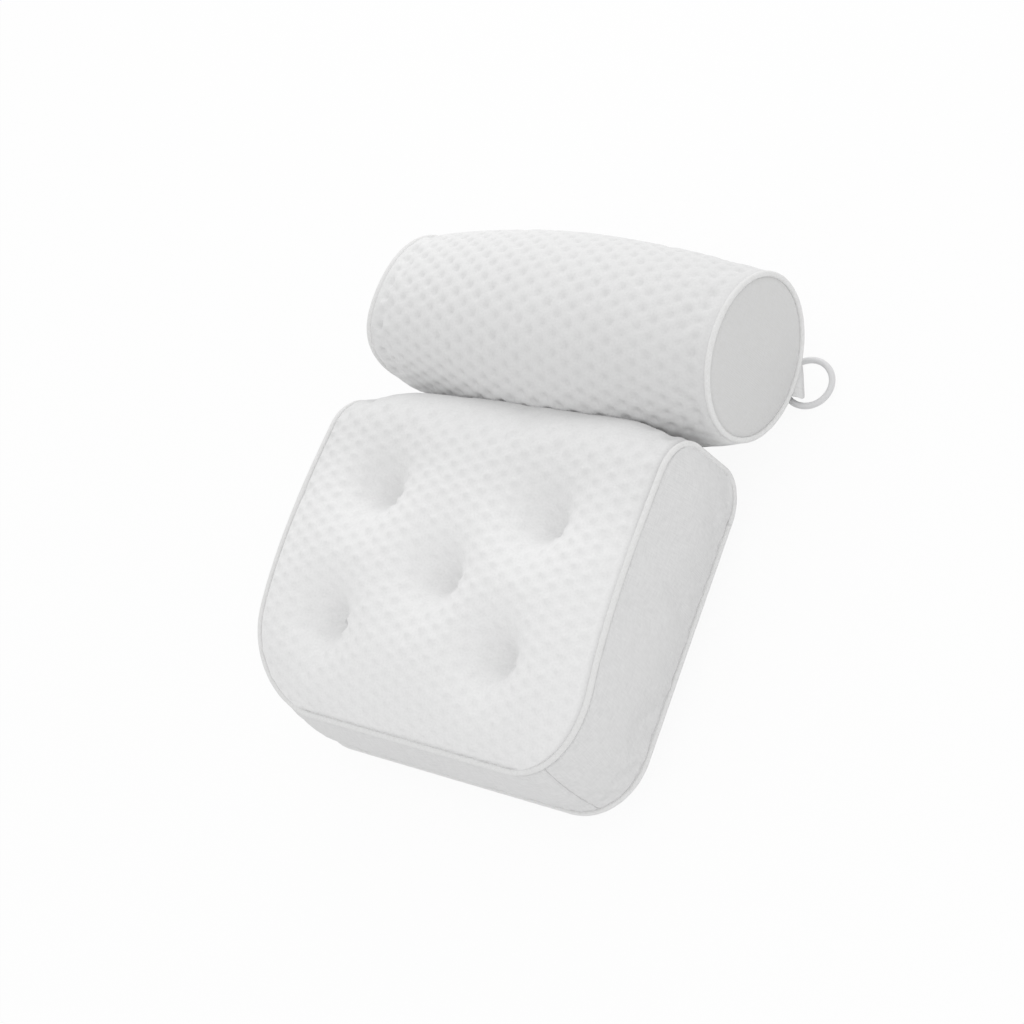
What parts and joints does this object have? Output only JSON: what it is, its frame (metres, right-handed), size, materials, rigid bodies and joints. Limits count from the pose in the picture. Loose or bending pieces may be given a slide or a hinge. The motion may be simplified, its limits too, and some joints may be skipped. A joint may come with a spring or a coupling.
{
  "type": "bath pillow",
  "caption": "Bath pillow: a wedge-shaped tufted back pad and a barrel head roll in white air mesh, joined by a folding cloth strip, with suction cups behind and a hanging ring.",
  "frame": {"origin": "on the plane of the suction cups' rims, at half height on the plane of symmetry", "axes": "+Z out of the pillow's face, +Y from the back pad towards the head roll, +X to the right of someone who faces it"},
  "size_m": [0.3343, 0.3838, 0.1286],
  "materials": {
    "air_mesh": "white polyester air mesh with rows of soft bubbles",
    "plain_cloth": "smooth white knitted polyester",
    "piping": "white cloth piping over a soft cord",
    "filling": "loose polyester fibre stuffing",
    "thread": "twisted white sewing thread",
    "ring_plastic": "white moulded plastic",
    "cup_vinyl": "soft clear vinyl, slightly milky"
  },
  "bodies": {
    "back_pad": {"pad_front_cover": "air_mesh", "pad_rear_panel": "air_mesh", "pad_side_gusset_left": "plain_cloth", "pad_side_gusset_right": "plain_cloth", "pad_bottom_gusset": "plain_cloth", "pad_front_piping": "piping", "pad_rear_piping": "piping", "pad_filling": "filling", "tuft_tie_1": "thread", "tuft_tie_2": "thread", "tuft_tie_3": "thread", "tuft_tie_4": "thread", "tuft_tie_5": "thread", "hinge_strip_lower": "plain_cloth", "cup_eyelet_1": "ring_plastic", "cup_eyelet_2": "ring_plastic", "cup_eyelet_3": "ring_plastic", "cup_eyelet_4": "ring_plastic"},
    "head_roll": {"roll_cover": "air_mesh", "roll_end_cap_left": "plain_cloth", "roll_end_cap_right": "plain_cloth", "roll_piping_left": "piping", "roll_piping_right": "piping", "roll_filling": "filling", "hinge_strip_upper": "plain_cloth", "hanging_tab": "plain_cloth", "cup_eyelet_5": "ring_plastic", "cup_eyelet_6": "ring_plastic"},
    "ring": {"hanging_ring": "ring_plastic"},
    "cup_1": {"suction_cup_1": "cup_vinyl"},
    "cup_2": {"suction_cup_2": "cup_vinyl"},
    "cup_3": {"suction_cup_3": "cup_vinyl"},
    "cup_4": {"suction_cup_4": "cup_vinyl"},
    "cup_5": {"suction_cup_5": "cup_vinyl"},
    "cup_6": {"suction_cup_6": "cup_vinyl"}
  },
  "joints": [
    {"name": "roll_fold", "type": "hinge", "parent": "back_pad", "child": "head_roll", "pos_m": [0, 0.063, 0.0137], "axis": [-1, 0, 0], "range_deg": [0, 90]},
    {"name": "ring_swing", "type": "hinge", "parent": "head_roll", "child": "ring", "pos_m": [0.14107, 0.1305, 0.01175], "axis": [0, -1, 0], "range_deg": [-75, 15]},
    {"name": "cup_spin_1", "type": "hinge", "parent": "back_pad", "child": "cup_1", "pos_m": [-0.095, -0.145, 0], "axis": [0, 0, 1], "continuous": true},
    {"name": "cup_spin_2", "type": "hinge", "parent": "back_pad", "child": "cup_2", "pos_m": [0.095, -0.145, 0], "axis": [0, 0, 1], "continuous": true},
    {"name": "cup_spin_3", "type": "hinge", "parent": "back_pad", "child": "cup_3", "pos_m": [-0.095, -0.001, 0], "axis": [0, 0, 1], "continuous": true},
    {"name": "cup_spin_4", "type": "hinge", "parent": "back_pad", "child": "cup_4", "pos_m": [0.095, -0.001, 0], "axis": [0, 0, 1], "continuous": true},
    {"name": "cup_spin_5", "type": "hinge", "parent": "head_roll", "child": "cup_5", "pos_m": [-0.1073, 0.1285, 0], "axis": [0, 0, 1], "continuous": true},
    {"name": "cup_spin_6", "type": "hinge", "parent": "head_roll", "child": "cup_6", "pos_m": [0.1073, 0.1285, 0], "axis": [0, 0, 1], "continuous": true}
  ]
}
